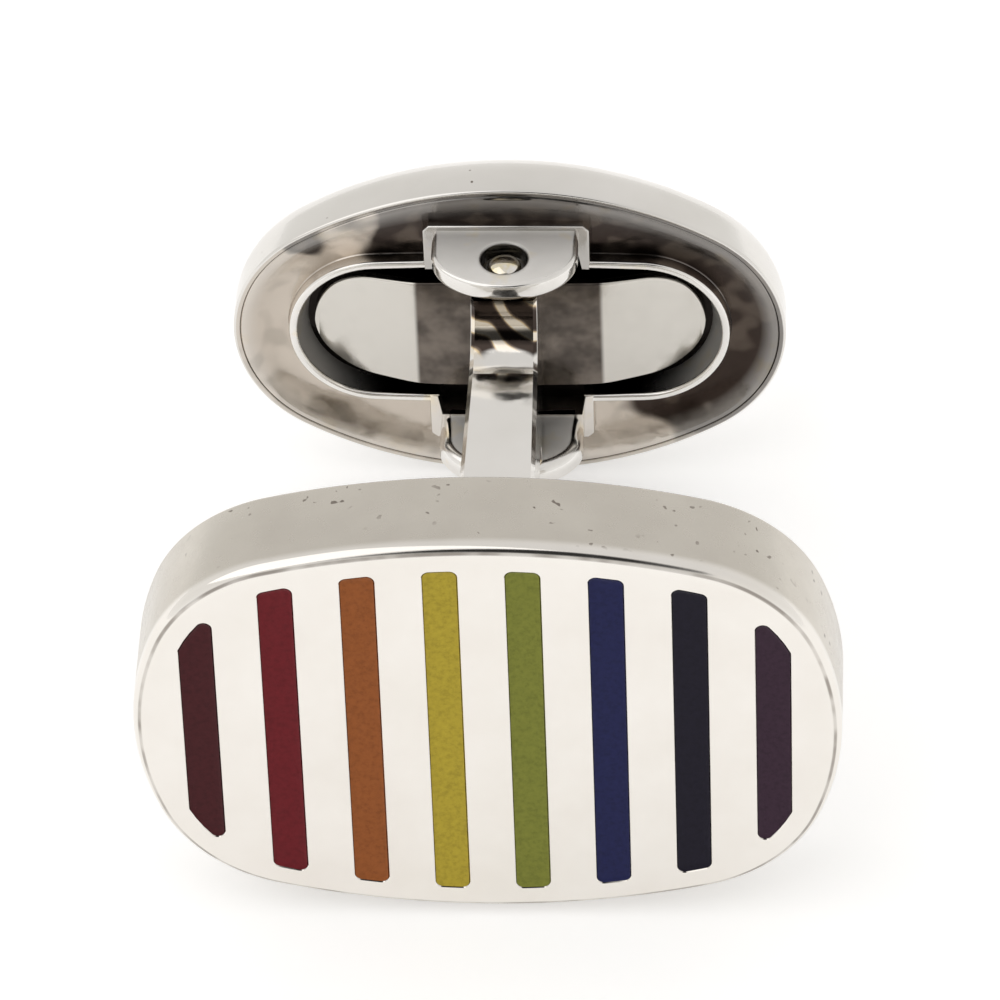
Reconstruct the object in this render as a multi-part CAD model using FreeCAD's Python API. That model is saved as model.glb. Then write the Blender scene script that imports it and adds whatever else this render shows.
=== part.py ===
import FreeCAD, Part
import math
import os

os.makedirs("parts", exist_ok=True)

V = FreeCAD.Vector

# Head sizes
head_width = 20.0
head_height = 13.9
head_depth = 3.12
head_side_radius = 24.0
head_end_radius = 9.0
head_corner_radius = 4.8
front_edge_round = 0.35
front_wall = 1.0
side_wall = 0.95
back_plate_thickness = 0.7
back_plate_ledge = 0.5

# Enamel bars
bar_colours = ["maroon", "red", "orange", "yellow", "green", "blue", "navy", "purple"]
bar_width = 0.95
bar_end_gap = 0.6
bar_margin = 0.85
bar_depth = 0.5
bar_corner_round = 0.2

# Post sizes
pin_distance = 16.0
post_root_width = 2.4
post_pin_width = 1.9
post_root_height = 4.6
post_middle_height = 3.4
post_root_flare = 1.2
knuckle_height = 6.4
knuckle_front = 1.05
cam_reach = 1.15
cam_corner_round = 0.35
post_edge_chamfer = 0.12
foot_width = 4.2
foot_height = 6.2
foot_thickness = 0.6

# Pivot pin
pin_radius = 0.5
pin_running_clearance = 0.03
pin_end_chamfer = 0.25
pin_end_recess = 0.1

# Toggle sizes
rim_behind_pin = 1.25
toggle_width = 16.4
lug_rim_space = 1.49
toggle_end_share = 0.79
toggle_depth = 2.4
toggle_back_round = 1.45
rim_chamfer = 0.06
rim_wall = 0.2
seam_gap = 0.05
dish_thickness = 0.9
dish_flat_edge = 0.1
dish_drop = 0.45

# Slot and lugs
slot_end_space = 1.9
slot_height = 5.0
slot_end_share = 0.97
lip_thickness = 0.26
lip_chamfer = 0.07
lug_width = 4.3
lug_side_clearance = 0.06
lug_thickness = 0.7
lug_root = 0.5
lug_straight = 0.3
lug_front = 1.28
lug_base_edge = 0.3
hole_countersink = 1.46
hole_countersink_depth = 0.28

# Leaf spring
leaf_end_gap = 0.5
leaf_side_gap = 0.5
leaf_end_share = 0.95
leaf_thickness = 0.3
leaf_flat = 5.5
leaf_foot = 0.6
leaf_bend_radius = 1.6

# Shares used all through
half = 0.5
touch_share = 0.0001

# Positions that follow from the sizes
rim_y = pin_distance + rim_behind_pin
plate_y = head_depth - back_plate_thickness
cam_y = pin_distance + cam_reach
floor_y = rim_y + dish_thickness
lug_inner = knuckle_height * half + lug_side_clearance
lug_outer = lug_inner + lug_thickness
toggle_height = (lug_outer + lug_rim_space) / half
toggle_end_radius = toggle_height * half * toggle_end_share
slot_length = toggle_width - slot_end_space / half
slot_end_radius = slot_height * half * slot_end_share
leaf_length = slot_length - leaf_end_gap / half
leaf_height = slot_height - leaf_side_gap / half
leaf_end_radius = leaf_height * half * leaf_end_share
touch = head_depth * touch_share


def wire_from_arcs(arcs):
    edges = [Part.Arc(*points).toShape() for points in arcs]
    return Part.Wire(edges)


def on_circle(centre, radius, angle, y):
    return V(centre[0] + radius * math.cos(angle), y, centre[1] + radius * math.sin(angle))


def arc_points(centre, radius, start, end, y):
    middle = (start + end) * half
    return [on_circle(centre, radius, angle, y) for angle in (start, middle, end)]


def four_way(centre, radius, start, end, y):
    first = arc_points(centre, radius, start, end, y)
    left = [V(-p.x, p.y, p.z) for p in reversed(first)]
    under = [V(-p.x, p.y, -p.z) for p in first]
    right = [V(p.x, p.y, -p.z) for p in reversed(first)]
    return first, left, under, right


# Oval of three radii, used for the head
def head_outline(inset, y):
    half_w = head_width * half - inset
    half_h = head_height * half - inset
    side_r = head_side_radius - inset
    end_r = head_end_radius - inset
    corner_r = head_corner_radius - inset
    side_c = (0, half_h - side_r)
    end_c = (half_w - end_r, 0)
    reach_a = side_r - corner_r
    reach_b = end_r - corner_r
    span = math.hypot(end_c[0], side_c[1])
    along = (reach_a ** 2 - reach_b ** 2 + span ** 2) / (span + span)
    across = math.sqrt(reach_a ** 2 - along ** 2)
    ux = end_c[0] / span
    uz = -side_c[1] / span
    corner_c = (ux * along + uz * across, side_c[1] + uz * along - ux * across)
    high = math.atan2(corner_c[1] - side_c[1], corner_c[0])
    low = math.atan2(corner_c[1], corner_c[0] - end_c[0])
    end_a = arc_points(end_c, end_r, -low, low, y)
    end_b = [V(-p.x, p.y, -p.z) for p in end_a]
    side_a = arc_points(side_c, side_r, high, math.pi - high, y)
    side_b = [V(-p.x, p.y, -p.z) for p in side_a]
    ne, nw, sw, se = four_way(corner_c, corner_r, low, high, y)
    return wire_from_arcs([end_a, ne, side_a, nw, end_b, sw, side_b, se])


# Oval of two radii, used for the toggle, the slot and the leaf
def oval_outline(length, height, end_radius, grow, y):
    half_w = length * half + grow
    half_h = height * half + grow
    end_r = end_radius + grow
    end_c = (half_w - end_r, 0)
    side_r = (half_w ** 2 + half_h ** 2 - half_w * end_r / half) / (half_h - end_r) * half
    side_c = (0, half_h - side_r)
    turn = math.atan2(-side_c[1], end_c[0])
    end_a = arc_points(end_c, end_r, -turn, turn, y)
    end_b = [V(-p.x, p.y, -p.z) for p in end_a]
    side_a = arc_points(side_c, side_r, turn, math.pi - turn, y)
    side_b = [V(-p.x, p.y, -p.z) for p in side_a]
    return wire_from_arcs([end_a, side_a, end_b, side_b])


def prism(wire, depth):
    return Part.Face(wire).extrude(V(0, depth, 0))


def block(width, y_start, y_end, z_start, z_end):
    corner = V(-width * half, y_start, z_start)
    return Part.makeBox(width, y_end - y_start, z_end - z_start, corner)


def edges_at(shape, y):
    return [e for e in shape.Edges if abs(e.BoundBox.YMin - y) + abs(e.BoundBox.YMax - y) < touch]


def turned_over(shape):
    return shape.mirror(V(0, 0, 0), V(0, 0, 1))


def save(shape, name):
    solid = shape.removeSplitter()
    if solid.ShapeType != "Solid":
        solid = solid.Solids[0]
    solid.exportStep("parts/" + name + ".step")


# Face case and enamel
case = prism(head_outline(0, 0), head_depth)
case = case.makeFillet(front_edge_round, edges_at(case, 0))
case = case.cut(prism(head_outline(side_wall, front_wall), head_depth))
case = case.cut(prism(head_outline(back_plate_ledge, plate_y), head_depth))
inside = prism(head_outline(bar_margin, 0), bar_depth)
bar_gaps = len(bar_colours) - 1
bar_span = head_width - bar_width - (bar_margin + bar_end_gap) / half
bar_step = bar_span / bar_gaps
for index, colour in enumerate(bar_colours):
    centre_x = (index - bar_gaps * half) * bar_step
    bar = block(bar_width, 0, bar_depth, -head_height, head_height)
    bar.translate(V(centre_x, 0, 0))
    bar = bar.common(inside)
    uprights = [e for e in bar.Edges if abs(e.tangentAt(e.FirstParameter).y) > half]
    bar = bar.makeFillet(bar_corner_round, uprights)
    case = case.cut(bar)
    save(bar, "enamel_" + colour)
save(case, "face_case")

# Back plate
tang = block(post_root_width, plate_y, head_depth, -post_root_height * half, post_root_height * half)
plate = prism(head_outline(back_plate_ledge, plate_y), back_plate_thickness)
save(plate.cut(tang), "head_back_plate")

# Post
root = post_root_width * half
narrow = post_pin_width * half
plan_points = [
    V(-root, plate_y, 0),
    V(-root, head_depth, 0),
    V(-narrow, pin_distance, 0),
    V(-narrow, cam_y, 0),
    V(narrow, cam_y, 0),
    V(narrow, pin_distance, 0),
    V(root, head_depth, 0),
    V(root, plate_y, 0),
]
plan = Part.Face(Part.makePolygon(plan_points + plan_points[:1]))
plan_solid = plan.extrude(V(0, 0, knuckle_height))
plan_solid.translate(V(0, 0, -knuckle_height * half))
upright_edges = [e for e in plan_solid.Edges if e.BoundBox.ZLength > knuckle_height * half]
cam_edges = [e for e in upright_edges if e.BoundBox.YMin > cam_y - touch]
plan_solid = plan_solid.makeFillet(cam_corner_round, cam_edges)

root_z = post_root_height * half
middle_z = post_middle_height * half
knuckle_z = knuckle_height * half
flare_radius = knuckle_z - middle_z
knuckle_y = pin_distance - knuckle_front
flare_y = knuckle_y - flare_radius
flare_bend = flare_radius * (1 - math.sqrt(half))
root_drop = root_z - middle_z
root_end = head_depth + post_root_flare
root_bend_y = head_depth + post_root_flare * (1 - math.sqrt(half))
root_bend_z = root_z - root_drop * math.sqrt(half)


root_turn = Part.Arc(V(0, head_depth, root_z), V(0, root_bend_y, root_bend_z), V(0, root_end, middle_z))
flare_middle = V(0, knuckle_y - flare_bend, middle_z + flare_bend)
flare_turn = Part.Arc(V(0, flare_y, middle_z), flare_middle, V(0, knuckle_y, knuckle_z))
upper_edges = [
    Part.makeLine(V(0, plate_y, root_z), V(0, head_depth, root_z)),
    root_turn.toShape(),
    Part.makeLine(V(0, root_end, middle_z), V(0, flare_y, middle_z)),
    flare_turn.toShape(),
    Part.makeLine(V(0, knuckle_y, knuckle_z), V(0, cam_y, knuckle_z)),
]
lower_edges = [turned_over(edge) for edge in upper_edges]
close_a = Part.makeLine(V(0, plate_y, -root_z), V(0, plate_y, root_z))
close_b = Part.makeLine(V(0, cam_y, -knuckle_z), V(0, cam_y, knuckle_z))
side_wire = Part.Wire(Part.__sortEdges__(upper_edges + lower_edges + [close_a, close_b]))
side_solid = Part.Face(side_wire).extrude(V(post_root_width, 0, 0))
side_solid.translate(V(-root, 0, 0))
post = plan_solid.common(side_solid)


def is_long_post_edge(edge):
    box = edge.BoundBox
    inside_y = box.YMin > head_depth + touch and box.YMax < knuckle_y - touch
    return inside_y and box.YLength > flare_radius and box.ZLength < touch


post = post.makeChamfer(post_edge_chamfer, [e for e in post.Edges if is_long_post_edge(e)])
foot = block(foot_width, plate_y - foot_thickness, plate_y, -foot_height * half, foot_height * half)
bore_radius = pin_radius + pin_running_clearance
bore = Part.makeCylinder(bore_radius, knuckle_height, V(0, pin_distance, -knuckle_z))
save(post.fuse(foot).cut(bore), "post")

# Pivot pin
pin_end = lug_outer - pin_end_recess
pin = Part.makeCylinder(pin_radius, pin_end / half, V(0, pin_distance, -pin_end))
pin = pin.makeChamfer(pin_end_chamfer, [e for e in pin.Edges if e.BoundBox.ZLength < touch])
save(pin, "pivot_pin")

# Toggle dish with its slot, lip and lugs
seat_inset = -rim_wall
dish_inset = seat_inset - seam_gap
funnel_inset = dish_inset - dish_flat_edge


def rim_outline(grow, y):
    return oval_outline(toggle_width, toggle_height, toggle_end_radius, grow, y)


def slot_outline(grow, y):
    return oval_outline(slot_length, slot_height, slot_end_radius, grow, y)


dish = prism(rim_outline(dish_inset, rim_y), dish_thickness)
funnel_top = rim_outline(funnel_inset, rim_y)
funnel_base = slot_outline(lip_thickness, rim_y + dish_drop)
dish = dish.cut(Part.makeLoft([funnel_top, funnel_base], True, True))
lip = prism(slot_outline(lip_thickness, rim_y), dish_thickness)
lip = lip.makeChamfer(lip_chamfer, edges_at(lip, rim_y))
base_width = lug_width + lug_base_edge + lug_base_edge
base_z = lug_outer + lug_base_edge * half
base = block(base_width, rim_y, rim_y + dish_thickness, -base_z, base_z)
base = base.common(prism(rim_outline(funnel_inset, rim_y), dish_thickness))
dish = dish.fuse(lip).fuse(base)
dish = dish.cut(prism(slot_outline(0, rim_y), dish_thickness))
dish = dish.cut(block(lug_width, rim_y, rim_y + dish_thickness, -lug_inner, lug_inner))

lug_back_y = rim_y + lug_root
lug_turn_y = pin_distance + lug_straight
lug_tip_y = pin_distance - lug_front
lug_side = lug_width * half
lug_round = Part.Ellipse(V(0, lug_turn_y, lug_inner), lug_side, lug_turn_y - lug_tip_y)
lug_arc = Part.ArcOfEllipse(lug_round, math.pi, math.pi + math.pi).toShape()
lug_corners = [
    V(lug_side, lug_turn_y, lug_inner),
    V(lug_side, lug_back_y, lug_inner),
    V(-lug_side, lug_back_y, lug_inner),
    V(-lug_side, lug_turn_y, lug_inner),
]
lug_lines = Part.makePolygon(lug_corners).Edges
lug_wire = Part.Wire(Part.__sortEdges__(lug_lines + [lug_arc]))
lug = Part.Face(lug_wire).extrude(V(0, 0, lug_thickness))
lug_hole = Part.makeCylinder(pin_radius, lug_thickness, V(0, pin_distance, lug_inner))
sink_start = lug_outer - hole_countersink_depth
sink_point = V(0, pin_distance, sink_start)
sink = Part.makeCone(pin_radius, hole_countersink * half, hole_countersink_depth, sink_point)
lug = lug.cut(lug_hole).cut(sink)
save(dish.fuse(lug).fuse(turned_over(lug)), "toggle_dish")

# Leaf spring
flat_half = leaf_flat * half
leaf_end = leaf_length * half
foot_start = leaf_end - leaf_foot
leaf_side = [
    V(-leaf_end, floor_y, 0),
    V(-foot_start, floor_y, 0),
    V(-flat_half, cam_y + leaf_thickness, 0),
    V(flat_half, cam_y + leaf_thickness, 0),
    V(foot_start, floor_y, 0),
    V(leaf_end, floor_y, 0),
]
leaf_points = leaf_side + [p - V(0, leaf_thickness, 0) for p in reversed(leaf_side)]
leaf = Part.Face(Part.makePolygon(leaf_points + leaf_points[:1])).extrude(V(0, 0, leaf_height))
leaf.translate(V(0, 0, -leaf_height * half))


def is_crease(edge):
    box = edge.BoundBox
    return box.ZLength > leaf_height * half and abs(box.Center.x) < flat_half + touch


leaf = leaf.makeFillet(leaf_bend_radius, [e for e in leaf.Edges if is_crease(e)])
leaf_shape = prism(oval_outline(leaf_length, leaf_height, leaf_end_radius, 0, cam_y), toggle_depth)
leaf = leaf.common(leaf_shape)
save(leaf, "leaf_spring")

# Toggle cover
cover = prism(rim_outline(0, rim_y), toggle_depth)
cover = cover.makeFillet(toggle_back_round, edges_at(cover, rim_y + toggle_depth))
cover = cover.makeChamfer(rim_chamfer, edges_at(cover, rim_y))
cover = cover.cut(prism(rim_outline(seat_inset, rim_y), dish_thickness))
save(cover, "toggle_cover")
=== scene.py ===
# Cufflink with an enamelled oval head and a swivelling toggle. Lengths are in metres.
import math

import bmesh
import bpy
from mathutils import Matrix, Vector


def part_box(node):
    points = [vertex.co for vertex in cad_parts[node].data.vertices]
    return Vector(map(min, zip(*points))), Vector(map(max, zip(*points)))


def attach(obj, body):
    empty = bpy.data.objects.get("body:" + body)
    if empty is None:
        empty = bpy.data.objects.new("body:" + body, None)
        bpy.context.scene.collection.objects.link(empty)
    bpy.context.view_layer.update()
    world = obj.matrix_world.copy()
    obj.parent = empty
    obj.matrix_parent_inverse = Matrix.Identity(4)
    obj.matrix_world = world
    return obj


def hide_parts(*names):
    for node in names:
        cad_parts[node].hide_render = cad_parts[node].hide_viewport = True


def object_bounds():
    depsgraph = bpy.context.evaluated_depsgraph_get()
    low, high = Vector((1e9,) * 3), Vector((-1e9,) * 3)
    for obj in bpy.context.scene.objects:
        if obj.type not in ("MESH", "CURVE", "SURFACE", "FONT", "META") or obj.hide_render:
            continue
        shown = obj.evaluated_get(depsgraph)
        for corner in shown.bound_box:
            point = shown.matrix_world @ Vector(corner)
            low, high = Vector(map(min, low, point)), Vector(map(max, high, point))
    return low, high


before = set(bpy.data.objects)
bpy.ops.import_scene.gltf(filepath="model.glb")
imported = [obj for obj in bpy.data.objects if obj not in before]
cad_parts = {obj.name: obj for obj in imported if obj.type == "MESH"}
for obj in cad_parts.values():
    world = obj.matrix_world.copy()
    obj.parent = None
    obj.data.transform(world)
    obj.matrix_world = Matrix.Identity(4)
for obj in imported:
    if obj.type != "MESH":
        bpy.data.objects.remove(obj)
cad_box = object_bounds()
scene = bpy.context.scene
scene.view_settings.view_transform = "Standard"

MM = 0.001

# Camera of the photograph, seen from the head's own frame
CAMERA_PLACE = Vector((11.915, -177.885, 167.841)) * MM
CAMERA_PITCH = math.radians(42.0)
CAMERA_ROLL = math.radians(0.19)
CAMERA_LENS = 313.0
CAMERA_SENSOR = 36.0
CAMERA_CLIP = 10.0 * MM

# Floor and lamp
FLOOR_HALF = 400.0 * MM
FLOOR_CORNERS = ((-1, -1), (1, -1), (1, 1), (-1, 1))
FLOOR_COLOUR = (0.86, 0.858, 0.855)
FLOOR_GLOW = 0.36
LAMP_OFFSET = Vector((-0.2, -0.1, 0.36))
LAMP_SIZE = (0.5, 0.4)
LAMP_WATTS = 0.34

# Sky from the horizon up, with a dark patch round the photograph's camera
SKY_STOPS = (
    (0.0, (1.0, 0.995, 0.985)),
    (0.2, (0.92, 0.91, 0.89)),
    (0.5, (0.87, 0.855, 0.835)),
    (1.0, (0.79, 0.78, 0.77)),
)
DARK_EDGE = math.radians(24)
DARK_CORE = math.radians(10)
DARK_LEVEL = 0.04

# Outline of the head and its case
HEAD_SIDE_RADIUS = 24.0 * MM
HEAD_END_RADIUS = 9.0 * MM
HEAD_CORNER_RADIUS = 4.8 * MM
FRONT_ROUND = 0.35 * MM
REAR_ROUND = 0.16 * MM
REAR_RIM = 0.48 * MM
BAR_BEVEL = 0.035 * MM
BAR_WALL = 0.3 * MM
FRONT_LIMIT = 0.0006 * MM
POINT_DIGITS = 3

# Enamel from its back to the faintly dished front: inset and depth
ENAMEL_LEVELS = (
    (0.004 * MM, 0.3 * MM),
    (0.004 * MM, 0.014 * MM),
    (0.03 * MM, 0.03 * MM),
    (0.09 * MM, 0.042 * MM),
    (0.18 * MM, 0.048 * MM),
)

# Toggle: cover and dish
TOGGLE_END_SHARE = 0.79
TOGGLE_BACK_ROUND = 1.45 * MM
RIM_WALL = 0.2 * MM
RIM_ROUND = 0.09 * MM
RIM_INNER_ROUND = 0.04 * MM
SEAM_GAP = 0.012 * MM
DISH_FLAT = 0.12 * MM
DISH_EDGE = 0.03 * MM
DISH_EASE = 0.3 * DISH_EDGE
DISH_DROP = 0.45 * MM
DISH_SAG = 0.25 * DISH_DROP
DISH_THICKNESS = 0.9 * MM
SLOT_END_SPACE = 1.9 * MM
SLOT_HALF_HEIGHT = 2.5 * MM
SLOT_END_SHARE = 0.97
SLOT_END_TAPER = 0.955
LIP = 0.26 * MM
LIP_ROUND = 0.1 * MM
LIP_FOOT = LIP + 3 * DISH_EDGE
LIP_INSIDE = LIP_ROUND + 2 * DISH_EDGE

# Lugs, their pads and the notches for them in the dish
LUG_HALF = 2.15 * MM
LUG_THICKNESS = 0.7 * MM
LUG_STRAIGHT = 0.3 * MM
LUG_FRONT = 1.28 * MM
LUG_BACK = 1.75 * MM
LUG_INNER = 3.26 * MM
LUG_OUTER = LUG_INNER + LUG_THICKNESS
LUG_ROUND = 0.12 * MM
LUG_INNER_ROUND = 0.34 * MM
SINK_RADIUS = 0.72 * MM
SINK_FLOOR_RADIUS = 0.66 * MM
SINK_DEPTH = 0.5 * MM
PAD_EDGE = 0.3 * MM
PAD_HALF = LUG_HALF + PAD_EDGE
PAD_OUTER = LUG_OUTER + PAD_EDGE / 2
PAD_LAP = 0.06 * MM
PAD_RISE = 0.012 * MM
PAD_CORNER = 0.18 * MM
PAD_BEVEL = 0.06 * MM
PAD_BEVEL_STEPS = 3
PAD_BEVEL_PROFILE = 0.5
NOTCH_HALF = LUG_HALF + PAD_EDGE / 2
NOTCH_OUTER = LUG_OUTER + PAD_EDGE / 4

# Pin and leaf spring
PIN_DOME = 0.24 * MM
DOME_END = math.radians(84.0)
LEAF_THICKNESS = 0.3 * MM
LEAF_FLAT_HALF = 2.75 * MM
LEAF_FOOT = 0.6 * MM
LEAF_END_SHARE = 0.95
LEAF_CREASE = 0.3 * MM
LEAF_ROUND = 0.07 * MM
LEAF_ROUND_SHARE = 0.9
LEAF_TIP = 0.05 * LEAF_ROUND
LEAF_REACH = 0.9999

# Fineness of the meshes
EDGE_HOLD = 0.06 * MM
NEAR = 0.0002 * MM
TINY = 1e-6
SHARP = math.radians(38)
ARC_STEPS = 36
ROUND_STEPS = 6
LEAF_STEPS = 120
LEAF_ROUND_STEPS = 3
POLAR_STEPS = 144
DOME_STEPS = 16

# Marks on the toggle's vertices, read by its finishes: painted reflection on the ring, painted shade in
# the recesses, and satin
MARKS = ("painted_reflection", "painted_shade", "satin")
RIM_PAINTED_REFLECTION = 0.7
LIP_PAINTED_REFLECTION = 0.8
PAD_PAINTED_REFLECTION = 0.4
SINK_PAINTED_SHADE = 0.8
LUG_SATIN = 0.7
SLOT_END_PAINTED_SHADE = 0.5
SLOT_END_SATIN = 0.8
SLOT_END_START = 3.6 * MM
SLOT_END_FULL = 5.8 * MM

# Colours
BRIGHT = (0.77, 0.75, 0.72)
SOFT = (0.71, 0.69, 0.655)
FACE_BRIGHT = (0.84, 0.81, 0.765)
FACE_SOFT = (0.80, 0.765, 0.715)
WALL_BRIGHT = (0.62, 0.585, 0.525)
WALL_SOFT = (0.56, 0.525, 0.47)
POST_BRIGHT = (0.81, 0.79, 0.76)
POST_SOFT = (0.77, 0.75, 0.715)
WARM = (0.84, 0.76, 0.60)
# Dark colour of the specks, and also of the painted dark reflection line along the case's front edge
STAIN_AND_DARK_REFLECTION = (0.22, 0.19, 0.165)
# Near-black painted shade deep in the toggle's recesses
PAINTED_SHADE = (0.012, 0.010, 0.009)
# Painted reflection on the toggle's ring, from dark to pale
PAINTED_REFLECTION_DARK = (0.042, 0.031, 0.026)
PAINTED_REFLECTION_BROWN = (0.09, 0.071, 0.058)
PAINTED_REFLECTION_TAN = (0.45, 0.40, 0.345)
PAINTED_REFLECTION_PALE = (0.56, 0.50, 0.435)
BRASS = (0.76, 0.66, 0.42)
# Painted reflection on the leaf spring: dark in the middle, bright on the wings
STEEL_REFLECTION_DARK = (0.075, 0.064, 0.056)
STEEL_REFLECTION_MID = (0.19, 0.163, 0.14)
STEEL_REFLECTION_BRIGHT = (0.62, 0.595, 0.55)
# Painted reflection on the post's neck: dark brown, gold and a painted glint
NECK_REFLECTION_DARK = (0.05, 0.038, 0.032)
NECK_REFLECTION_BROWN = (0.15, 0.115, 0.092)
NECK_REFLECTION_GOLD = (0.60, 0.47, 0.29)
NECK_PAINTED_GLINT = (0.80, 0.73, 0.62)

# Noise: usual detail and roughness, and the span of its values that most finishes use
NOISE_DETAIL = 3.0
NOISE_ROUGHNESS = 0.55
NOISE_SPAN = (0.3, 0.7)

# Scale of the noise between the tones of a finish
FACE_CLOUD = 420.0
COVER_CLOUD = 380.0
POST_CLOUD = 500.0
PLATE_CLOUD = 450.0
DISH_CLOUD = 700.0
PIN_CLOUD = 2600.0
DISH_STOPS = ((0.3, POST_SOFT), (0.58, POST_BRIGHT), (0.72, WARM))
PIN_STOPS = ((0.35, BRASS), (0.6, BRIGHT))

# Roughness: scale of its noise, then its lowest and highest value
FACE_ROUGHNESS = (900.0, 0.07, 0.13)
WALL_ROUGHNESS = (2600.0, 0.23, 0.28)
COVER_ROUGHNESS = (1400.0, 0.1, 0.2)
POST_ROUGHNESS = (1400.0, 0.06, 0.13)
PLATE_ROUGHNESS = (900.0, 0.18, 0.22)
DISH_ROUGHNESS = (1600.0, 0.1, 0.22)
LEAF_ROUGHNESS = (1800.0, 0.12, 0.26)
PIN_ROUGHNESS = (3000.0, 0.08, 0.18)
ENAMEL_ROUGHNESS = (3000.0, 0.3, 0.42)
SATIN_ROUGHNESS = 0.5
SATIN_METALLIC = 0.3

# Relief: scale and detail of its noise and its depth, one layer after another
FACE_RELIEF = ((300.0, 1.0, 0.006 * MM), (9000.0, NOISE_DETAIL, 0.0005 * MM))
COVER_RELIEF = ((350.0, 1.0, 0.008 * MM), (8000.0, NOISE_DETAIL, 0.0006 * MM))
POST_RELIEF = ((620.0, 2.0, 0.02 * MM), (9000.0, NOISE_DETAIL, 0.0006 * MM))
PLATE_RELIEF = ((300.0, 1.0, 0.006 * MM), (9000.0, NOISE_DETAIL, 0.0006 * MM))
DISH_RELIEF = ((650.0, 2.0, 0.03 * MM), (6000.0, NOISE_DETAIL, 0.001 * MM))
LEAF_RELIEF = ((600.0, 2.0, 0.012 * MM), (7000.0, NOISE_DETAIL, 0.0008 * MM))
PIN_RELIEF = ((2400.0, 1.0, 0.01 * MM),)
ENAMEL_RELIEF = ((4200.0, NOISE_DETAIL, 0.003 * MM),)

# Specks: scale of their noise and the level where they start, and the same for their patches
WALL_SPECKS = (3600.0, 0.675, 420.0, 0.45)
COVER_SPECKS = (4200.0, 0.73, 420.0, 0.52)
PLATE_SPECKS = (4000.0, 0.725, 500.0, 0.5)
SPECK_DETAIL = 1.0
SPECK_FADE = 0.05
SPECK_PATCH_FADE = 0.15

# Case: where the wall's finish starts, and the painted dark reflection line along the front edge, broken
# up by noise
WALL_SPAN = (0.7 * FRONT_ROUND, 1.6 * FRONT_ROUND)
EDGE_REFLECTION_LINE = 0.05 * MM
EDGE_REFLECTION_RISE = (0.2 * EDGE_REFLECTION_LINE, 0.6 * EDGE_REFLECTION_LINE)
EDGE_REFLECTION_FALL = (EDGE_REFLECTION_LINE, 1.6 * EDGE_REFLECTION_LINE)
EDGE_REFLECTION_NOISE = (700.0, 2.0)
EDGE_REFLECTION_NOISE_SPAN = (0.35, 0.6)
EDGE_REFLECTION_NOISE_RANGE = (0.3, 0.8)

# Painted reflection on the toggle's ring: dark at the upper right, pale at the lower left
PAINTED_REFLECTION_LEAN = (0.6 / MM, 0.0, 1.0 / MM)
PAINTED_REFLECTION_WAVE = (480.0, 1.5)
PAINTED_REFLECTION_WAVE_REACH = 11.0
PAINTED_REFLECTION_SPAN = (5.0, 6.2)
PAINTED_REFLECTION_FLOW = (900.0, 1.0)
PAINTED_REFLECTION_FLOW_SPAN = (0.5, 0.62)

# Neck of the post: painted reflection of dark brown, gold and bright streaks on the flare, but not on the
# post's sides
NECK_START = 2.1 * MM
NECK_FADE = 0.15 * MM
NECK_WAVE = (750.0, 1.0)
NECK_WAVE_REACH = 0.8 * MM
NECK_REFLECTION_STREAKS = {"Scale": 400.0, "Distortion": 6.0, "Detail": 1.0, "Detail Scale": 1.6}
NECK_REFLECTION_STOPS = ((0.35, NECK_REFLECTION_DARK), (0.55, NECK_REFLECTION_BROWN), (0.68, NECK_REFLECTION_GOLD), (0.8, NECK_PAINTED_GLINT))
FLARE_START = 13.4 * MM
FLARE_FADE = 0.3 * MM
POST_HALF = 1.2606 * MM
POST_TAPER = 0.01941
POST_SIDE_SPAN = (0.005 * MM, 0.02 * MM)

# Leaf spring: painted dark reflection in the middle, mottled by noise, between painted bright reflections
# on the wings
LEAF_REFLECTION_MOTTLE = (700.0, 3.0, 0.6)
LEAF_REFLECTION_MOTTLE_SPAN = (0.35, 0.7)
LEAF_WING_SPAN = (LEAF_FLAT_HALF - 0.08 * MM, LEAF_FLAT_HALF + 0.08 * MM)

# Enamel: grain, shades as places on its ramp and shares of the colour, and shine
ENAMEL_GRAIN = (6500.0, 4.0, 0.7)
ENAMEL_SHADES = ((0.34, 0.82), (0.5, 1.0), (0.7, 1.12))
ENAMEL_SHINE = 0.1

# Sockets of Blender's Mix node
MIX_NUMBERS = (0, 2, 3)
MIX_COLOURS = (0, 6, 7)
MIX_NUMBER_OUT = 0
MIX_COLOUR_OUT = 2

# Colours of the enamel bars from left to right, in sRGB steps
ENAMEL_SRGB = {
    "enamel_maroon": (71, 29, 33),
    "enamel_red": (108, 29, 36),
    "enamel_orange": (150, 86, 44),
    "enamel_yellow": (180, 160, 56),
    "enamel_green": (126, 130, 56),
    "enamel_blue": (33, 36, 77),
    "enamel_navy": (27, 24, 37),
    "enamel_purple": (58, 40, 54),
}
SRGB_TOP = 255
SRGB_OFFSET = 0.055
SRGB_POWER = 2.4

head_low, head_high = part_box("face_case")
cover_low, cover_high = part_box("toggle_cover")
leaf_low, leaf_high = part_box("leaf_spring")
pin_low, pin_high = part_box("pivot_pin")
rim_y = cover_low.y
pin_y = (pin_low.y + pin_high.y) / 2
centre = (cad_box[0] + cad_box[1]) / 2


# Nodes of materials and of the world

def material(name):
    made = bpy.data.materials.new(name)
    made.use_nodes = True
    made.node_tree.nodes.clear()
    return made, made.node_tree


# A socket gets a link, a colour or a plain value
def feed(tree, socket, value):
    if isinstance(value, bpy.types.NodeSocket):
        tree.links.new(value, socket)
    elif socket.type == "RGBA":
        socket.default_value = (*value, 1.0)
    else:
        socket.default_value = value


# A new node, with what its first sockets get
def add(tree, kind, *values, **settings):
    node = tree.nodes.new(kind)
    for key, value in settings.items():
        setattr(node, key, value)
    for socket, value in zip(node.inputs, values):
        feed(tree, socket, value)
    return node


def fill(node, values):
    for name, value in values.items():
        node.inputs[name].default_value = value


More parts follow.
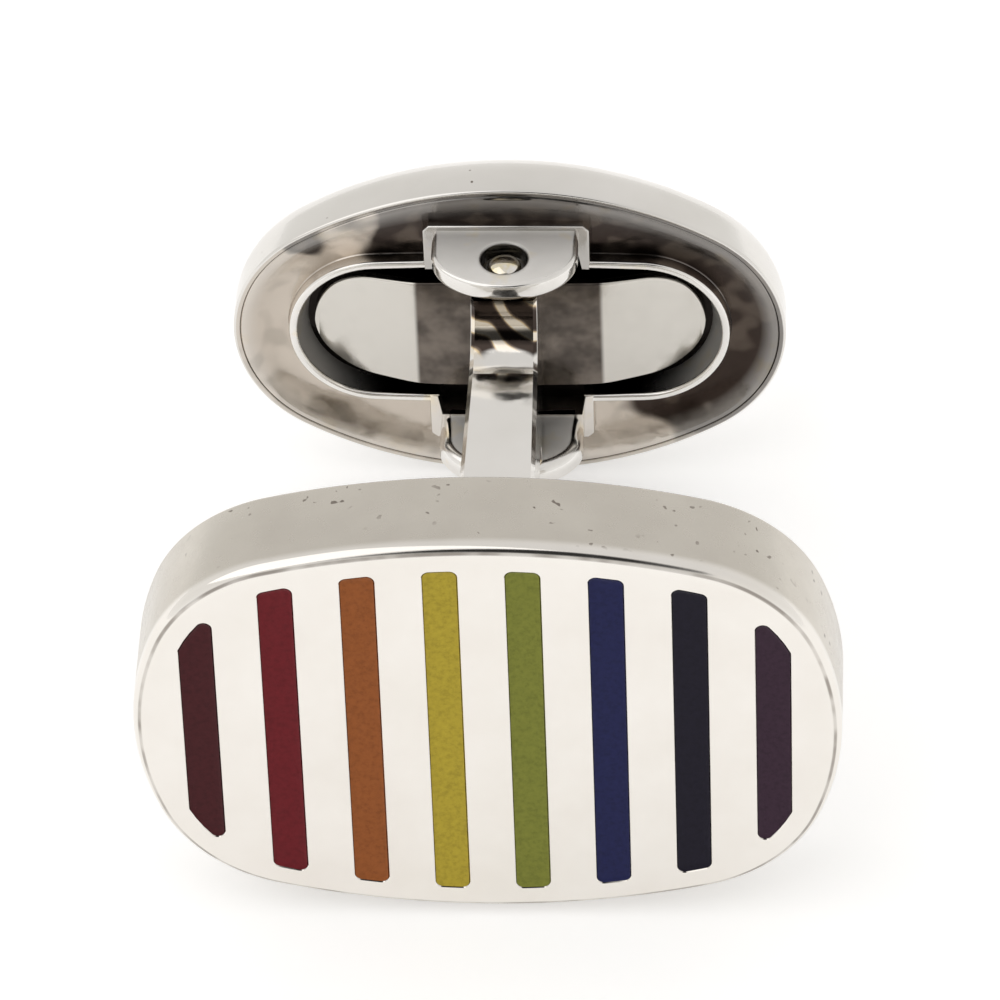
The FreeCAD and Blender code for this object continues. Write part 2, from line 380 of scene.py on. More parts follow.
def arithmetic(tree, operation, *values):
    return add(tree, "ShaderNodeMath", *values, operation=operation).outputs[0]


def dot(tree, first, second):
    return add(tree, "ShaderNodeVectorMath", first, second, operation="DOT_PRODUCT").outputs["Value"]


def ramp(tree, factor, stops):
    node = add(tree, "ShaderNodeValToRGB", factor)
    elements = node.color_ramp.elements
    while len(elements) < len(stops):
        elements.new(0)
    for element, (place, colour) in zip(elements, stops):
        element.position = place
        element.color = (*colour, 1.0)
    return node.outputs["Color"]


def remap(tree, value, span, result):
    node = add(tree, "ShaderNodeMapRange", value, *span, *result, interpolation_type="SMOOTHSTEP")
    return node.outputs["Result"]


class Finish:
    """A node material with object coordinates and one shader."""

    def __init__(self, name, metallic=1.0):
        self.made, self.tree = material(name)
        self.coords = add(self.tree, "ShaderNodeTexCoord").outputs["Object"]
        self.x, self.y, self.z = add(self.tree, "ShaderNodeSeparateXYZ", self.coords).outputs
        self.shader = add(self.tree, "ShaderNodeBsdfPrincipled")
        self.set("Metallic", metallic)
        add(self.tree, "ShaderNodeOutputMaterial", self.shader.outputs["BSDF"])

    def set(self, socket, value):
        feed(self.tree, self.shader.inputs[socket], value)

    def noise(self, scale, detail=NOISE_DETAIL, roughness=NOISE_ROUGHNESS):
        node = add(self.tree, "ShaderNodeTexNoise", self.coords)
        fill(node, {"Scale": scale, "Detail": detail, "Roughness": roughness})
        return node.outputs["Fac"]

    def mark(self, name):
        return add(self.tree, "ShaderNodeAttribute", attribute_name=name).outputs["Fac"]

    def ramp(self, factor, stops):
        return ramp(self.tree, factor, stops)

    def tones(self, factor, soft, bright):
        return self.ramp(factor, tuple(zip(NOISE_SPAN, (soft, bright))))

    def remap(self, value, span, result=(0.0, 1.0)):
        return remap(self.tree, value, span, result)

    def arithmetic(self, operation, *values):
        return arithmetic(self.tree, operation, *values)

    def absolute(self, value):
        return self.arithmetic("ABSOLUTE", value)

    def times(self, first, *others):
        for other in others:
            first = self.arithmetic("MULTIPLY", first, other)
        return first

    def mix(self, factor, first, second):
        node = add(self.tree, "ShaderNodeMix", data_type="RGBA")
        for place, value in zip(MIX_COLOURS, (factor, first, second)):
            feed(self.tree, node.inputs[place], value)
        return node.outputs[MIX_COLOUR_OUT]

    def mix_numbers(self, factor, first, second):
        node = add(self.tree, "ShaderNodeMix")
        for place, value in zip(MIX_NUMBERS, (factor, first, second)):
            feed(self.tree, node.inputs[place], value)
        return node.outputs[MIX_NUMBER_OUT]

    def uneven(self, scale, low, high):
        return self.remap(self.noise(scale), NOISE_SPAN, (low, high))

    def specks(self, scale, level, patch_scale, patch_level):
        spots = self.remap(self.noise(scale, SPECK_DETAIL), (level, level + SPECK_FADE))
        patches = self.noise(patch_scale, SPECK_DETAIL)
        return self.times(spots, self.remap(patches, (patch_level, patch_level + SPECK_PATCH_FADE)))

    def relief(self, layers):
        normal = None
        for scale, detail, depth in layers:
            node = add(self.tree, "ShaderNodeBump")
            fill(node, {"Distance": depth})
            feed(self.tree, node.inputs["Height"], self.noise(scale, detail))
            if normal is not None:
                feed(self.tree, node.inputs["Normal"], normal)
            normal = node.outputs["Normal"]
        self.set("Normal", normal)


# Linear colour from sRGB steps
def linear(steps):
    return tuple(((v / SRGB_TOP + SRGB_OFFSET) / (1 + SRGB_OFFSET)) ** SRGB_POWER for v in steps)


# Finishes of the pieces

def face_plating():
    look = Finish("face_plating")
    wall = look.remap(look.y, WALL_SPAN)
    cloud = look.noise(FACE_CLOUD)
    front_tone = look.tones(cloud, FACE_SOFT, FACE_BRIGHT)
    wall_tone = look.tones(cloud, WALL_SOFT, WALL_BRIGHT)
    # Painted dark reflection line along the front edge, broken up by noise
    rise = look.remap(look.y, EDGE_REFLECTION_RISE)
    fall = look.remap(look.y, EDGE_REFLECTION_FALL, (1.0, 0.0))
    line_noise = look.remap(look.noise(*EDGE_REFLECTION_NOISE), EDGE_REFLECTION_NOISE_SPAN, EDGE_REFLECTION_NOISE_RANGE)
    marked_tone = look.mix(look.times(rise, fall, line_noise), look.mix(wall, front_tone, wall_tone), STAIN_AND_DARK_REFLECTION)
    specks = look.times(look.specks(*WALL_SPECKS), wall)
    look.set("Base Color", look.mix(specks, marked_tone, STAIN_AND_DARK_REFLECTION))
    rough = look.mix_numbers(wall, look.uneven(*FACE_ROUGHNESS), look.uneven(*WALL_ROUGHNESS))
    look.set("Roughness", rough)
    look.relief(FACE_RELIEF)
    return look.made


# Painted reflection on the toggle's ring: dark at the upper right, pale at the lower left
def ring_painted_reflection(look):
    lean = dot(look.tree, look.coords, PAINTED_REFLECTION_LEAN)
    uneven = look.arithmetic("MULTIPLY_ADD", look.noise(*PAINTED_REFLECTION_WAVE), PAINTED_REFLECTION_WAVE_REACH, lean)
    side = look.remap(uneven, PAINTED_REFLECTION_SPAN)
    flow = look.remap(look.noise(*PAINTED_REFLECTION_FLOW), PAINTED_REFLECTION_FLOW_SPAN)
    pale = look.mix(flow, PAINTED_REFLECTION_PALE, PAINTED_REFLECTION_TAN)
    dark = look.mix(flow, PAINTED_REFLECTION_DARK, PAINTED_REFLECTION_BROWN)
    return look.mix(side, pale, dark)


def cover_plating():
    look = Finish("cover_plating")
    tone = look.tones(look.noise(COVER_CLOUD), SOFT, BRIGHT)
    marked_tone = look.mix(look.specks(*COVER_SPECKS), tone, STAIN_AND_DARK_REFLECTION)
    # Painted reflection on the rim's rounds
    toned = look.mix(look.mark("painted_reflection"), marked_tone, ring_painted_reflection(look))
    # Painted shade on the wall deep inside the cover
    look.set("Base Color", look.mix(look.mark("painted_shade"), toned, PAINTED_SHADE))
    look.set("Roughness", look.uneven(*COVER_ROUGHNESS))
    look.relief(COVER_RELIEF)
    return look.made


def post_plating():
    look = Finish("post_plating")
    bright = look.tones(look.noise(POST_CLOUD), POST_SOFT, POST_BRIGHT)
    wave = look.noise(*NECK_WAVE)
    height = look.arithmetic("MULTIPLY_ADD", wave, NECK_WAVE_REACH, look.absolute(look.z))
    neck = look.remap(height, (NECK_START, NECK_START + NECK_FADE))
    flare = look.remap(look.y, (FLARE_START, FLARE_START + FLARE_FADE))
    half = look.arithmetic("MULTIPLY_ADD", look.y, -POST_TAPER, POST_HALF)
    inside = look.remap(look.arithmetic("SUBTRACT", half, look.absolute(look.x)), POST_SIDE_SPAN)
    # Painted reflection on the neck's flare: dark brown, gold and bright streaks
    streaks = add(look.tree, "ShaderNodeTexWave", look.coords, bands_direction="DIAGONAL")
    fill(streaks, NECK_REFLECTION_STREAKS)
    neck_reflection = look.ramp(streaks.outputs["Fac"], NECK_REFLECTION_STOPS)
    look.set("Base Color", look.mix(look.times(neck, flare, inside), bright, neck_reflection))
    look.set("Roughness", look.uneven(*POST_ROUGHNESS))
    look.relief(POST_RELIEF)
    return look.made


def plate_plating():
    look = Finish("plate_plating")
    tone = look.tones(look.noise(PLATE_CLOUD), SOFT, BRIGHT)
    look.set("Base Color", look.mix(look.specks(*PLATE_SPECKS), tone, STAIN_AND_DARK_REFLECTION))
    look.set("Roughness", look.uneven(*PLATE_ROUGHNESS))
    look.relief(PLATE_RELIEF)
    return look.made


def dish_plating():
    look = Finish("dish_plating")
    bright = look.ramp(look.noise(DISH_CLOUD), DISH_STOPS)
    # Painted reflection on the ring, the lip and the pads
    toned = look.mix(look.mark("painted_reflection"), bright, ring_painted_reflection(look))
    # Painted shade in the lugs' sinks and on the slot's wall
    look.set("Base Color", look.mix(look.mark("painted_shade"), toned, PAINTED_SHADE))
    satin = look.mark("satin")
    look.set("Roughness", look.mix_numbers(satin, look.uneven(*DISH_ROUGHNESS), SATIN_ROUGHNESS))
    look.set("Metallic", look.remap(satin, (0.0, 1.0), (1.0, SATIN_METALLIC)))
    look.relief(DISH_RELIEF)
    return look.made


def leaf_steel():
    look = Finish("leaf_steel")
    # Painted dark reflection in the middle and painted bright reflections on the wings
    wing = look.remap(look.absolute(look.x), LEAF_WING_SPAN)
    mottle = look.remap(look.noise(*LEAF_REFLECTION_MOTTLE), LEAF_REFLECTION_MOTTLE_SPAN)
    look.set("Base Color", look.mix(wing, look.mix(mottle, STEEL_REFLECTION_DARK, STEEL_REFLECTION_MID), STEEL_REFLECTION_BRIGHT))
    look.set("Roughness", look.uneven(*LEAF_ROUGHNESS))
    look.relief(LEAF_RELIEF)
    return look.made


def pin_steel():
    look = Finish("pin_steel")
    look.set("Base Color", look.ramp(look.noise(PIN_CLOUD), PIN_STOPS))
    look.set("Roughness", look.uneven(*PIN_ROUGHNESS))
    look.relief(PIN_RELIEF)
    return look.made


def enamel(name, colour):
    look = Finish(name, metallic=0.0)
    look.set("Specular IOR Level", ENAMEL_SHINE)
    shades = [(place, tuple(c * share for c in colour)) for place, share in ENAMEL_SHADES]
    look.set("Base Color", look.ramp(look.noise(*ENAMEL_GRAIN), shades))
    look.set("Roughness", look.uneven(*ENAMEL_ROUGHNESS))
    look.relief(ENAMEL_RELIEF)
    return look.made


# Outlines and rings of points

def arc(middle, radius, start, end, steps=ARC_STEPS):
    turns = [start + (end - start) * i / steps for i in range(steps)]
    return [(middle[0] + radius * math.cos(a), middle[1] + radius * math.sin(a)) for a in turns]


def whole_arc(middle, radius, start, end, steps=ROUND_STEPS):
    last = (middle[0] + radius * math.cos(end), middle[1] + radius * math.sin(end))
    return arc(middle, radius, start, end, steps) + [last]


# Radius of an oval's long sides, from its half sizes and the radius of its ends
def side_radius(half_w, half_h, end_r):
    return (half_w ** 2 + half_h ** 2 - 2 * half_w * end_r) / (2 * (half_h - end_r))


def oval(half_w, half_h, end_r):
    end_x = half_w - end_r
    side_r = side_radius(half_w, half_h, end_r)
    side_z = half_h - side_r
    turn = math.atan2(-side_z, end_x)
    return (
        arc((end_x, 0), end_r, -turn, turn)
        + arc((0, side_z), side_r, turn, math.pi - turn)
        + arc((-end_x, 0), end_r, math.pi - turn, math.pi + turn)
        + arc((0, -side_z), side_r, math.pi + turn, 2 * math.pi - turn)
    )


# Oval of three radii, with the corner arcs tangent to the ends and the sides
def head_oval(inset):
    half_w = head_high.x - inset
    half_h = head_high.z - inset
    side_r = HEAD_SIDE_RADIUS - inset
    end_r = HEAD_END_RADIUS - inset
    corner_r = HEAD_CORNER_RADIUS - inset
    side_z = half_h - side_r
    end_x = half_w - end_r
    span = math.hypot(end_x, side_z)
    along = ((side_r - corner_r) ** 2 - (end_r - corner_r) ** 2 + span ** 2) / (2 * span)
    across = math.sqrt((side_r - corner_r) ** 2 - along ** 2)
    ux, uz = end_x / span, -side_z / span
    cx = ux * along + uz * across
    cz = side_z + uz * along - ux * across
    high = math.atan2(cz - side_z, cx)
    low = math.atan2(cz, cx - end_x)
    points = arc((end_x, 0), end_r, -low, low)
    points += arc((cx, cz), corner_r, low, high)
    points += arc((0, side_z), side_r, high, math.pi - high)
    points += arc((-cx, cz), corner_r, math.pi - high, math.pi - low)
    return points + [(-x, -z) for x, z in points]


def ring(points, y):
    return [Vector((x, y, z)) for x, z in points]


def head_ring(inset, y):
    return ring(head_oval(inset), y)


def rim_ring(grow, depth):
    half_h = cover_high.z
    end_r = half_h * TOGGLE_END_SHARE + grow
    return ring(oval(cover_high.x + grow, half_h + grow, end_r), rim_y + depth)


def slot_ring(grow, depth):
    half_w = cover_high.x - SLOT_END_SPACE
    end_r = SLOT_HALF_HEIGHT * SLOT_END_SHARE + grow
    return ring(oval(half_w + grow, SLOT_HALF_HEIGHT + grow, end_r), rim_y + depth)


# Outline of an enamel bar's front, grown outwards
def bar_outline(node, grow):
    seen = {}
    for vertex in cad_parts[node].data.vertices:
        x, y, z = vertex.co
        if y < FRONT_LIMIT:
            seen[(round(x / MM, POINT_DIGITS), round(z / MM, POINT_DIGITS))] = (x, z)
    points = list(seen.values())
    mid_x = sum(p[0] for p in points) / len(points)
    points.sort(key=lambda p: math.atan2(p[1], p[0] - mid_x))
    count = len(points)
    grown = []
    for i, (x, z) in enumerate(points):
        ahead, behind = points[(i + 1) % count], points[i - 1]
        out = Vector((ahead[1] - behind[1], behind[0] - ahead[0])).normalized()
        grown.append((x + out.x * grow, z + out.y * grow))
    return grown


# Meshes

def skin(mesh, rings, closed=False, capped=False):
    rows = [[mesh.verts.new(p) for p in points] for points in rings]
    pairs = list(zip(rows, rows[1:]))
    if closed:
        pairs.append((rows[-1], rows[0]))
    for low, high in pairs:
        for i in range(len(low)):
            j = (i + 1) % len(low)
            mesh.faces.new((low[i], low[j], high[j], high[i]))
    if capped:
        mesh.faces.new(rows[0])
        mesh.faces.new(rows[-1])
    return rows


def marked_mesh():
    mesh = bmesh.new()
    for name in MARKS:
        mesh.verts.layers.float.new(name)
    return mesh


def mark(mesh, rows, name, values):
    layer = mesh.verts.layers.float[name]
    for row, value in zip(rows, values):
        for vertex in row:
            vertex[layer] = value


def piece(name, mesh, body, node, finish):
    bmesh.ops.recalc_face_normals(mesh, faces=mesh.faces)
    data = bpy.data.meshes.new(name)
    mesh.to_mesh(data)
    mesh.free()
    data.shade_smooth()
    data.set_sharp_from_angle(angle=SHARP)
    data.materials.append(finish)
    made = bpy.data.objects.new(name, data)
    scene.collection.objects.link(made)
    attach(made, body)
    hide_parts(node)


# Pieces of the head

def case():
    mesh = bmesh.new()
    rear = head_high.y
    rear_arc = whole_arc((0, 0), REAR_ROUND, math.pi / 2, 0)
    front_arc = whole_arc((0, 0), FRONT_ROUND, 0, math.pi / 2)
    profile = [(REAR_RIM, BAR_WALL), (REAR_RIM, rear - EDGE_HOLD), (REAR_RIM - EDGE_HOLD, rear)]
    profile += [(REAR_ROUND + EDGE_HOLD, rear)]
    profile += [(REAR_ROUND - a, rear - REAR_ROUND + b) for a, b in rear_arc]
    profile += [(FRONT_ROUND - a, FRONT_ROUND - b) for a, b in front_arc]
    profile += [(FRONT_ROUND + EDGE_HOLD, 0)]
    rows = skin(mesh, [head_ring(inset, y) for inset, y in profile])
    fronts, floors = [rows[-1]], [rows[0]]
    levels = [(EDGE_HOLD + BAR_BEVEL, 0), (BAR_BEVEL, 0), (0, BAR_BEVEL), (0, BAR_WALL)]
    for node in ENAMEL_SRGB:
        bar_rows = skin(mesh, [ring(bar_outline(node, grow), y) for grow, y in levels])
        fronts.append(bar_rows[0])
        floors.append(bar_rows[-1])
    for borders in (fronts, floors):
        edges = [mesh.edges.get((loop[i - 1], loop[i])) for loop in borders for i in range(len(loop))]
        bmesh.ops.triangle_fill(mesh, use_beauty=True, edges=edges)
    piece("face_case_shell", mesh, "head", "face_case", face_plating())


def enamel_bar(node, colour):
    mesh = bmesh.new()
    skin(mesh, [ring(bar_outline(node, -inset), y) for inset, y in ENAMEL_LEVELS], capped=True)
    piece(node + "_fill", mesh, "head", node, enamel(node, linear(colour)))


# Pieces of the toggle

def toggle_cover():
    mesh = marked_mesh()
    depth = cover_high.y - rim_y
    back = depth - TOGGLE_BACK_ROUND
    inner = RIM_INNER_ROUND
    profile = [(-RIM_WALL, DISH_THICKNESS)]
    profile += whole_arc((inner - RIM_WALL, inner), inner, math.pi, 1.5 * math.pi)
    profile += whole_arc((-RIM_ROUND, RIM_ROUND), RIM_ROUND, 1.5 * math.pi, 2 * math.pi)
    profile += whole_arc((-TOGGLE_BACK_ROUND, back), TOGGLE_BACK_ROUND, 0, math.pi / 2, 2 * ROUND_STEPS)
    profile += [(-TOGGLE_BACK_ROUND - EDGE_HOLD, depth)]
    rows = skin(mesh, [rim_ring(grow, y) for grow, y in profile], capped=True)
    # Painted shade on the wall deep inside the cover
    mark(mesh, rows, "painted_shade", [1])
    # Painted reflection on the rim's rounds
    mark(mesh, rows[1:], "painted_reflection", [RIM_PAINTED_REFLECTION] * (ROUND_STEPS + 2))
    piece("toggle_cover_shell", mesh, "toggle", "toggle_cover", cover_plating())


# Sloping ring of the dish with the lip and the wall of the slot
def dish_ring(mesh):
    outer = RIM_WALL + SEAM_GAP
    inner = outer + DISH_FLAT
    rings = [rim_ring(-outer, DISH_THICKNESS), rim_ring(-outer, DISH_EDGE)]
    rings += [rim_ring(-outer - DISH_EDGE, 0), rim_ring(-inner + DISH_EDGE, 0)]
    # How much painted reflection each ring gets, growing down the slope to the lip
    painted_reflection = [RIM_PAINTED_REFLECTION] * len(rings)
    top = rim_ring(-inner - DISH_EDGE, DISH_EASE)
    base = slot_ring(LIP_FOOT, DISH_DROP)
    for step in range(ROUND_STEPS + 1):
        share = step / ROUND_STEPS
        sag = Vector((0, DISH_SAG * math.sin(math.pi * share), 0))
        rings.append([a.lerp(b, share) + sag for a, b in zip(top, base)])
        painted_reflection.append(min(1, RIM_PAINTED_REFLECTION + share))
    rings += [slot_ring(LIP + DISH_EDGE, DISH_DROP), slot_ring(LIP, DISH_DROP - DISH_EDGE)]
    painted_reflection += [1, LIP_PAINTED_REFLECTION]
    lip = whole_arc((LIP - LIP_ROUND, LIP_ROUND), LIP_ROUND, 0, -math.pi / 2)
    lip += whole_arc((LIP_ROUND, LIP_ROUND), LIP_ROUND, -math.pi / 2, -math.pi)
    rings += [slot_ring(grow, y) for grow, y in lip]
    foot = [Vector((p.x * SLOT_END_TAPER, p.y, p.z)) for p in slot_ring(0, DISH_THICKNESS)]
    rings += [slot_ring(0, LIP_INSIDE), foot]
    rows = skin(mesh, rings, closed=True)
    mark(mesh, rows, "painted_reflection", painted_reflection)
    # Painted shade on the slot's wall, lighter towards its ends
    for vertex in rows[-2] + rows[-1]:
        share = (abs(vertex.co.x) - SLOT_END_START) / (SLOT_END_FULL - SLOT_END_START)
        share = min(max(share, 0), 1)
        mark(mesh, [[vertex]], "painted_shade", [1 + share * (SLOT_END_PAINTED_SHADE - 1)])
        mark(mesh, [[vertex]], "satin", [share * SLOT_END_SATIN])


# Cut the notches for the lugs out of the dish and close their walls
def dish_notches(mesh):
    across, upright = (1, 0, 0), (0, 0, 1)
    cuts = ((NOTCH_HALF, across), (-NOTCH_HALF, across), (NOTCH_OUTER, upright), (-NOTCH_OUTER, upright))
    for place, normal in cuts:
        whole = mesh.verts[:] + mesh.edges[:] + mesh.faces[:]
        bmesh.ops.bisect_plane(mesh, geom=whole, plane_co=Vector(normal) * place, plane_no=normal)
    middles = [(f, f.calc_center_median()) for f in mesh.faces]
    gone = [f for f, c in middles if abs(c.x) < NOTCH_HALF and abs(c.z) < NOTCH_OUTER]
    bmesh.ops.delete(mesh, geom=gone, context="FACES")
    for side in (1, -1):
        close_notch(mesh, NOTCH_OUTER * side)


def close_notch(mesh, outer):
    def lies(vertex, axis, place):
        return abs(vertex.co[axis] - place) < NEAR

    edges = [e for e in mesh.edges if e.is_boundary and e.verts[0].co.z * outer > 0]
    border = list(dict.fromkeys(v for e in edges for v in e.verts))
    for place in (-NOTCH_HALF, NOTCH_HALF):
        edges.append(mesh.edges.new([v for v in border if lies(v, 0, place) and lies(v, 2, outer)]))
    for axis, place in ((0, -NOTCH_HALF), (0, NOTCH_HALF), (2, outer)):
        wall = [e for e in edges if all(lies(v, axis, place) for v in e.verts)]
        bmesh.ops.triangle_fill(mesh, use_beauty=True, edges=wall)


# Flat pad behind a lug, with two cut corners
def lug_pad(mesh, side):
    inner = SLOT_HALF_HEIGHT - PAD_LAP
    cut = PAD_CORNER
    corners = [(-PAD_HALF, inner), (-PAD_HALF, PAD_OUTER - cut), (cut - PAD_HALF, PAD_OUTER)]
    corners += [(PAD_HALF - cut, PAD_OUTER), (PAD_HALF, PAD_OUTER - cut), (PAD_HALF, inner)]
    corners += [(LUG_HALF, inner), (LUG_HALF, LUG_INNER), (-LUG_HALF, LUG_INNER), (-LUG_HALF, inner)]
    front = [mesh.verts.new((x, rim_y - PAD_RISE, z * side)) for x, z in corners]
    back = [mesh.verts.new((x, rim_y + DISH_THICKNESS, z * side)) for x, z in corners]
    # Part of the ring's painted reflection on the pad's front
    mark(mesh, [front], "painted_reflection", [PAD_PAINTED_REFLECTION])
    count = len(corners)
    mesh.faces.new(front)
    mesh.faces.new(back)
    for i in range(count):
        j = (i + 1) % count
        mesh.faces.new((front[i], front[j], back[j], back[i]))
    edges = [mesh.edges.get((front[i - 1], front[i])) for i in range(count)]
    bevel = {"offset": PAD_BEVEL, "segments": PAD_BEVEL_STEPS, "profile": PAD_BEVEL_PROFILE}
    bmesh.ops.bevel(mesh, geom=edges, affect="EDGES", **bevel)


# Distance from the pin's axis to a lug's edge: half an ellipse in front, straight sides behind
def lug_reach(turn):
    x, y = math.cos(turn), math.sin(turn)
    a, b = LUG_HALF, LUG_FRONT + LUG_STRAIGHT
    qa = (x / a) ** 2 + (y / b) ** 2
    qb = -2 * LUG_STRAIGHT * y / b ** 2
    qc = (LUG_STRAIGHT / b) ** 2 - 1
    reach = (-qb + math.sqrt(qb ** 2 - 4 * qa * qc)) / (2 * qa)
    if reach * y <= LUG_STRAIGHT:
        return reach
    return min(LUG_HALF / max(abs(x), TINY), LUG_BACK / max(y, TINY))


TURNS = [2 * math.pi * i / POLAR_STEPS for i in range(POLAR_STEPS)]


def lug(mesh, side):
    def flat_ring(reaches, z):
        polar = zip(reaches, TURNS)
        return [Vector((r * math.cos(a), pin_y + r * math.sin(a), z * side)) for r, a in polar]

    def circle(radius, z):
        return flat_ring([radius] * POLAR_STEPS, z)

    def outline(inset, z):
        return flat_ring([lug_reach(a) - inset for a in TURNS], z)

    bore = pin_high.x
    sink = LUG_OUTER - SINK_DEPTH
    rings = [circle(bore, LUG_INNER), circle(bore, sink)]
    rings += [circle(SINK_FLOOR_RADIUS - BAR_BEVEL, sink), circle(SINK_FLOOR_RADIUS, sink + BAR_BEVEL)]
    rings += [circle(SINK_RADIUS - BAR_BEVEL, LUG_OUTER - BAR_BEVEL)]
    hole = len(rings)
    rings += [circle(SINK_RADIUS + BAR_BEVEL, LUG_OUTER)]
    rings += [circle(SINK_RADIUS + BAR_BEVEL + EDGE_HOLD, LUG_OUTER)]
    rings += [outline(LUG_ROUND + EDGE_HOLD, LUG_OUTER)]
    face = len(rings)
    outer_arc = whole_arc((-LUG_ROUND, -LUG_ROUND), LUG_ROUND, math.pi / 2, 0)
    rings += [outline(-a, LUG_OUTER + b) for a, b in outer_arc]
    inner_arc = whole_arc((-LUG_INNER_ROUND, LUG_INNER_ROUND), LUG_INNER_ROUND, 0, -math.pi / 2)
    rings += [outline(-a, LUG_INNER + b) for a, b in inner_arc]
    rings += [outline(LUG_INNER_ROUND + EDGE_HOLD, LUG_INNER)]
    rows = skin(mesh, rings, closed=True)
    # Painted shade in the lug's bore and sink
    mark(mesh, rows, "painted_shade", [SINK_PAINTED_SHADE] * hole)
    mark(mesh, [rows[0], rows[-1]], "satin", [1, 1])
    mark(mesh, rows[hole:face], "satin", [LUG_SATIN] * (face - hole))


# The same order of faces in each run, which the mesh operators alone do not give
def order_faces(mesh):
    mesh.verts.index_update()
    count = len(mesh.verts)

    def place(face):
        first, second, third = sorted(v.index for v in face.verts)[:3]
        return (first * count + second) * count + third

    mesh.faces.sort(key=place)


def toggle_dish():
    mesh = marked_mesh()
    dish_ring(mesh)
    dish_notches(mesh)
    for side in (1, -1):
        lug_pad(mesh, side)
        lug(mesh, side)
    order_faces(mesh)
    piece("toggle_dish_plate", mesh, "toggle", "toggle_dish", dish_plating())


def pivot_pin():
    mesh = bmesh.new()
    radius = pin_high.x
    shoulder = pin_high.z - PIN_DOME
    turns = [DOME_END * i / DOME_STEPS for i in range(DOME_STEPS + 1)]
    dome = [(radius * math.cos(a), shoulder + PIN_DOME * math.sin(a)) for a in turns]
    profile = [(r, -z) for r, z in reversed(dome)] + dome
    rings = [[Vector((r * math.cos(a), pin_y + r * math.sin(a), z)) for a in TURNS] for r, z in profile]
    skin(mesh, rings, capped=True)
    piece("pivot_pin_rivet", mesh, "toggle", "pivot_pin", pin_steel())


def leaf_half_height(x):
    half_w, half_h = leaf_high.x, leaf_high.z
    end_r = half_h * LEAF_END_SHARE
    end_x = half_w - end_r
    side_r = side_radius(half_w, half_h, end_r)
    side_z = half_h - side_r
    turn = math.atan2(-side_z, end_x)
    if x <= side_r * math.cos(turn):
        return side_z + math.sqrt(side_r ** 2 - x ** 2)
    return math.sqrt(max(end_r ** 2 - (x - end_x) ** 2, 0))


def soft_ramp(value, width):
    return (value + math.sqrt(value ** 2 + width ** 2)) / 2


# Front of the leaf: flat in the middle, sloping back to the feet
def leaf_front(x):
    fall = leaf_high.y - LEAF_THICKNESS - leaf_low.y
    foot = leaf_high.x - LEAF_FOOT
    slope = fall / (foot - LEAF_FLAT_HALF)
    bends = soft_ramp(x - LEAF_FLAT_HALF, LEAF_CREASE) - soft_ramp(x - foot, LEAF_CREASE / 2)
    return leaf_low.y + slope * bends


# Cross-section of the leaf at x, with four rounded corners
def leaf_section(x):
    half_h = max(leaf_half_height(abs(x)), LEAF_TIP)
    round_h = min(LEAF_ROUND, half_h * LEAF_ROUND_SHARE)
    flat = half_h - round_h
    back = LEAF_THICKNESS - LEAF_ROUND
    y = leaf_front(abs(x))
    corners = [(flat, LEAF_ROUND), (-flat, LEAF_ROUND), (-flat, back), (flat, back)]
    section = []
    for corner, (z, deep) in enumerate(corners):
        start, end = -corner * math.pi / 2, -(corner + 1) * math.pi / 2
        for a, b in whole_arc((0, 0), 1.0, start, end, LEAF_ROUND_STEPS):
            section.append(Vector((x, y + deep + LEAF_ROUND * b, z + round_h * a)))
    return section


def leaf_spring():
    mesh = bmesh.new()
    shares = [math.sin(math.pi / 2 * (2 * step / LEAF_STEPS - 1)) for step in range(LEAF_STEPS + 1)]
    skin(mesh, [leaf_section(leaf_high.x * share * LEAF_REACH) for share in shares], capped=True)
    piece("leaf_spring_strip", mesh, "toggle", "leaf_spring", leaf_steel())


# Floor under the head's rear edge and the toggle
def floor():
    front = Vector((0, head_high.y, head_low.z))
    rear = Vector((0, cover_high.y - TOGGLE_BACK_ROUND, cover_low.z))
    along = (rear - front).normalized()
    across = Vector((1, 0, 0))
    corners = [front + across * FLOOR_HALF * a + along * FLOOR_HALF * b for a, b in FLOOR_CORNERS]
    mesh = bpy.data.meshes.new("floor")
    mesh.from_pydata(corners, [], [range(len(corners))])
    mesh.materials.append(floor_white())
    made = bpy.data.objects.new("floor", mesh)
    scene.collection.objects.link(made)


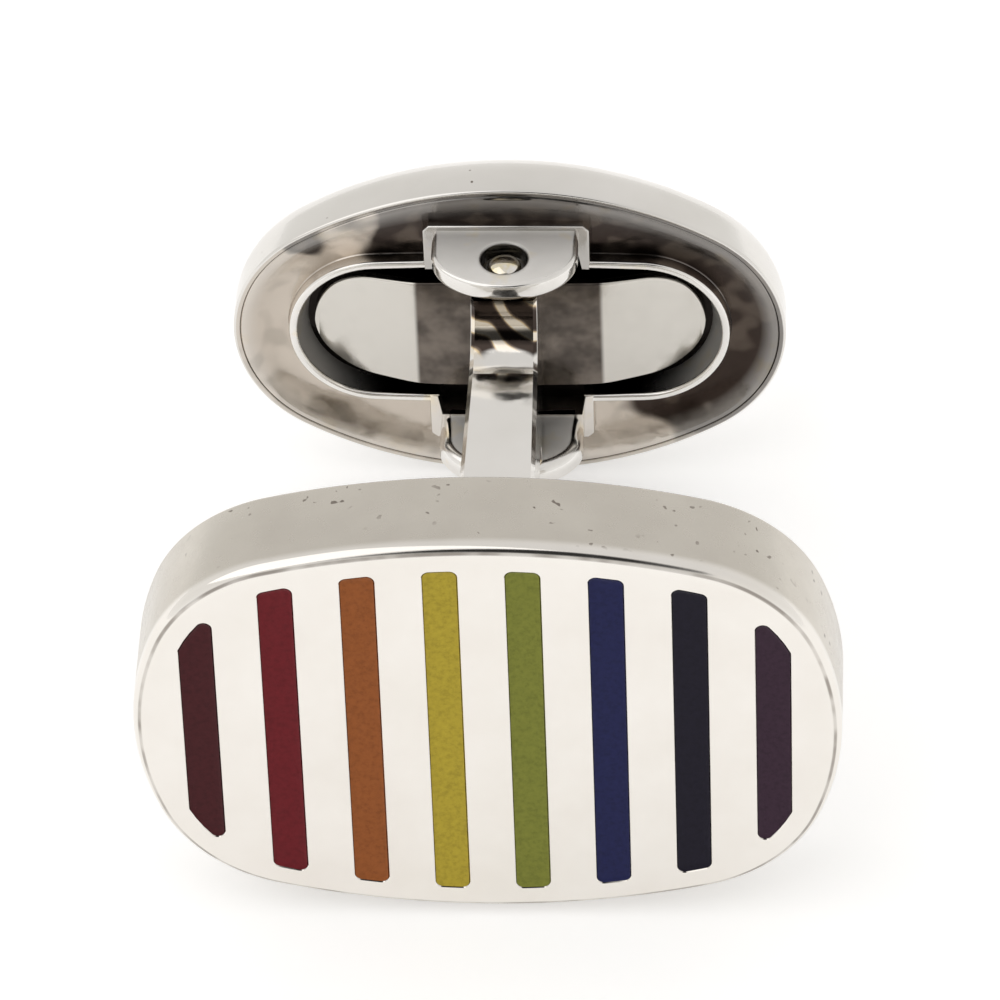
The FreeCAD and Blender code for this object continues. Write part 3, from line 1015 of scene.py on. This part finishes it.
# Diffuse floor that also glows a little for the camera and in reflections
def floor_white():
    made, tree = material("floor_white")
    path = add(tree, "ShaderNodeLightPath").outputs
    seen = path["Is Camera Ray"]
    for ray in ("Is Glossy Ray", "Is Transmission Ray"):
        seen = arithmetic(tree, "MAXIMUM", seen, path[ray])
    diffuse = add(tree, "ShaderNodeBsdfDiffuse", FLOOR_COLOUR)
    glow = add(tree, "ShaderNodeEmission")
    feed(tree, glow.inputs["Strength"], arithmetic(tree, "MULTIPLY", seen, FLOOR_GLOW))
    both = add(tree, "ShaderNodeAddShader", diffuse.outputs[0], glow.outputs[0])
    add(tree, "ShaderNodeOutputMaterial", both.outputs[0])
    return made


def sky():
    world = bpy.data.worlds.new("tent")
    scene.world = world
    world.use_nodes = True
    tree = world.node_tree
    tree.nodes.clear()
    toward = add(tree, "ShaderNodeTexCoord").outputs["Generated"]
    level = ramp(tree, add(tree, "ShaderNodeSeparateXYZ", toward).outputs["Z"], SKY_STOPS)
    aim = dot(tree, toward, CAMERA_PLACE.normalized())
    shade = remap(tree, aim, (math.cos(DARK_EDGE), math.cos(DARK_CORE)), (1.0, DARK_LEVEL))
    background = add(tree, "ShaderNodeBackground", level, shade)
    add(tree, "ShaderNodeOutputWorld", background.outputs[0])


def softbox():
    lamp = bpy.data.lights.new("top_softbox", "AREA")
    lamp.shape = "RECTANGLE"
    lamp.size, lamp.size_y = LAMP_SIZE
    lamp.energy = LAMP_WATTS
    made = bpy.data.objects.new("top_softbox", lamp)
    made.location = centre + LAMP_OFFSET
    made.rotation_euler = (-LAMP_OFFSET).to_track_quat("-Z", "Y").to_euler()
    scene.collection.objects.link(made)


def camera():
    data = bpy.data.cameras.new("camera")
    data.lens = CAMERA_LENS
    data.sensor_width = CAMERA_SENSOR
    data.clip_start = CAMERA_CLIP
    made = bpy.data.objects.new("camera", data)
    scene.collection.objects.link(made)
    ahead = Vector((0, math.cos(CAMERA_PITCH), -math.sin(CAMERA_PITCH)))
    right = Vector((1, 0, 0))
    turn = Matrix((right, right.cross(ahead), -ahead)).transposed() @ Matrix.Rotation(CAMERA_ROLL, 3, "Z")
    swing = ahead.rotation_difference(centre - CAMERA_PLACE).to_matrix()
    made.matrix_world = Matrix.Translation(CAMERA_PLACE) @ (swing @ turn).to_4x4()
    scene.camera = made


case()
for bar, colour in ENAMEL_SRGB.items():
    enamel_bar(bar, colour)
toggle_cover()
toggle_dish()
pivot_pin()
leaf_spring()
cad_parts["post"].material_slots[0].material = post_plating()
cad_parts["head_back_plate"].material_slots[0].material = plate_plating()
floor()
sky()
softbox()
camera()
